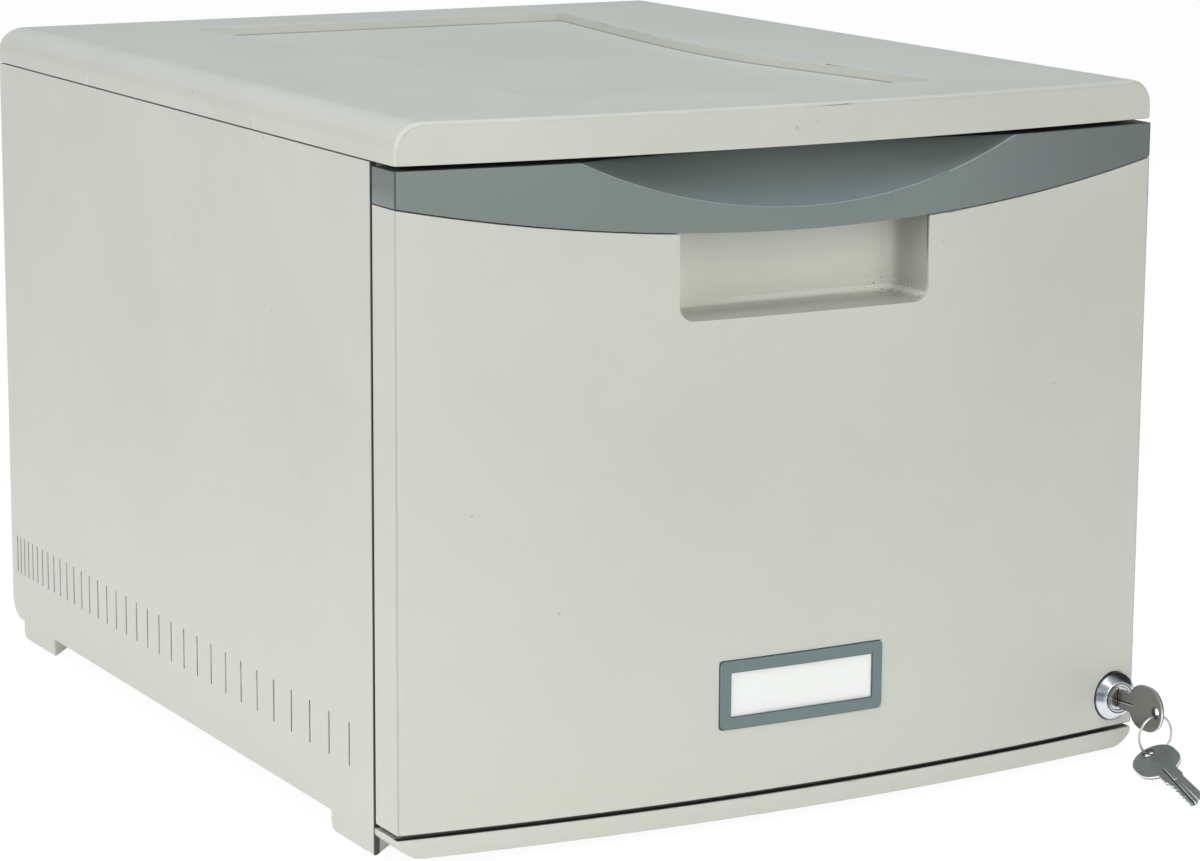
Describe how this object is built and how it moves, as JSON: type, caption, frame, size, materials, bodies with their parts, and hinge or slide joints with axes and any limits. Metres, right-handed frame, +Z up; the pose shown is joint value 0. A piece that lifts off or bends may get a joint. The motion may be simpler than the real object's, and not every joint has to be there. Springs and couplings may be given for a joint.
{
  "type": "desktop file drawer",
  "caption": "Boxy grey desktop file drawer with a bowed front, scooped handle band, finger pocket, label frame, corner lock with keys, and a tray sunk in its lid.",
  "frame": {"origin": "on the surface that the feet stand on, midway between the sides and midway between the bowed front's crown and the back panel's rear face", "axes": "+X to the right of someone facing the drawer, -Y out of the drawer's front, +Z up"},
  "size_m": [0.375, 0.5357, 0.311],
  "materials": {
    "shell_grey": "fine moulded grain, warm light grey",
    "band_grey": "fine moulded grain, blue grey",
    "frame_grey": "smooth, blue grey",
    "card_white": "plain white card",
    "tub_grey": "plain moulded, light grey",
    "zinc_steel": "bright zinc plated",
    "roller_white": "hard smooth plastic, off-white",
    "lock_chrome": "polished",
    "key_nickel": "nickel plated, worn"
  },
  "bodies": {
    "cabinet": {"top_lid": "shell_grey", "left_side_panel": "shell_grey", "right_side_panel": "shell_grey", "back_panel": "shell_grey", "base_panel": "shell_grey", "left_runner": "zinc_steel", "right_runner": "zinc_steel", "front_left_axle": "zinc_steel", "front_right_axle": "zinc_steel", "lid_screws": "zinc_steel", "back_screws": "zinc_steel", "base_screws": "zinc_steel", "runner_screws": "zinc_steel"},
    "drawer": {"drawer_front": "shell_grey", "handle_band": "band_grey", "label_frame": "frame_grey", "label_card": "card_white", "front_liner": "tub_grey", "drawer_tub": "tub_grey", "left_file_rail": "zinc_steel", "right_file_rail": "zinc_steel", "left_drawer_rail": "zinc_steel", "right_drawer_rail": "zinc_steel", "rear_left_axle": "zinc_steel", "rear_right_axle": "zinc_steel", "front_screws": "zinc_steel", "band_screws": "zinc_steel", "rail_screws": "zinc_steel", "lock_housing": "lock_chrome", "lock_nut": "zinc_steel"},
    "front_left_wheel": {"front_left_roller": "roller_white"},
    "front_right_wheel": {"front_right_roller": "roller_white"},
    "rear_left_wheel": {"rear_left_roller": "roller_white"},
    "rear_right_wheel": {"rear_right_roller": "roller_white"},
    "plug": {"lock_plug": "lock_chrome", "lock_cam": "zinc_steel", "cam_screw": "zinc_steel"},
    "key_in_lock": {"key": "key_nickel"},
    "ring": {"key_ring": "key_nickel"},
    "spare": {"spare_key": "key_nickel"}
  },
  "joints": [
    {"name": "drawer_slide", "type": "slide", "parent": "cabinet", "child": "drawer", "axis": [0, -1, 0], "range_m": [0, 0.33]},
    {"name": "lock_turn", "type": "hinge", "parent": "drawer", "child": "plug", "pos_m": [0.1755, -0.2183, 0.0288], "axis": [0, -1, 0], "range_deg": [0, 90]},
    {"name": "key_out", "type": "slide", "parent": "plug", "child": "key_in_lock", "axis": [0, -1, 0], "range_m": [0, 0.028]},
    {"name": "ring_swing", "type": "hinge", "parent": "key_in_lock", "child": "ring", "pos_m": [0.1749, -0.2533, 0.0273], "axis": [1, 0, 0], "range_deg": [-60, 30]},
    {"name": "spare_swing", "type": "hinge", "parent": "ring", "child": "spare", "pos_m": [0.17182, -0.2533, 0.00984], "axis": [0.9397, 0, -0.342], "range_deg": [-60, 0]},
    {"name": "front_left_roll", "type": "hinge", "parent": "cabinet", "child": "front_left_wheel", "pos_m": [-0.1707, -0.18, 0.054], "axis": [1, 0, 0], "continuous": true},
    {"name": "front_right_roll", "type": "hinge", "parent": "cabinet", "child": "front_right_wheel", "pos_m": [0.1707, -0.18, 0.054], "axis": [1, 0, 0], "continuous": true},
    {"name": "rear_left_roll", "type": "hinge", "parent": "drawer", "child": "rear_left_wheel", "pos_m": [-0.1699, 0.202, 0.05985], "axis": [1, 0, 0], "continuous": true},
    {"name": "rear_right_roll", "type": "hinge", "parent": "drawer", "child": "rear_right_wheel", "pos_m": [0.1699, 0.202, 0.05985], "axis": [1, 0, 0], "continuous": true}
  ],
  "couplings": [
    {"joint": "front_left_roll", "follows": "drawer_slide", "rad_per_m": 102.56},
    {"joint": "front_right_roll", "follows": "drawer_slide", "rad_per_m": 102.56},
    {"joint": "rear_left_roll", "follows": "drawer_slide", "rad_per_m": 102.56},
    {"joint": "rear_right_roll", "follows": "drawer_slide", "rad_per_m": 102.56}
  ]
}
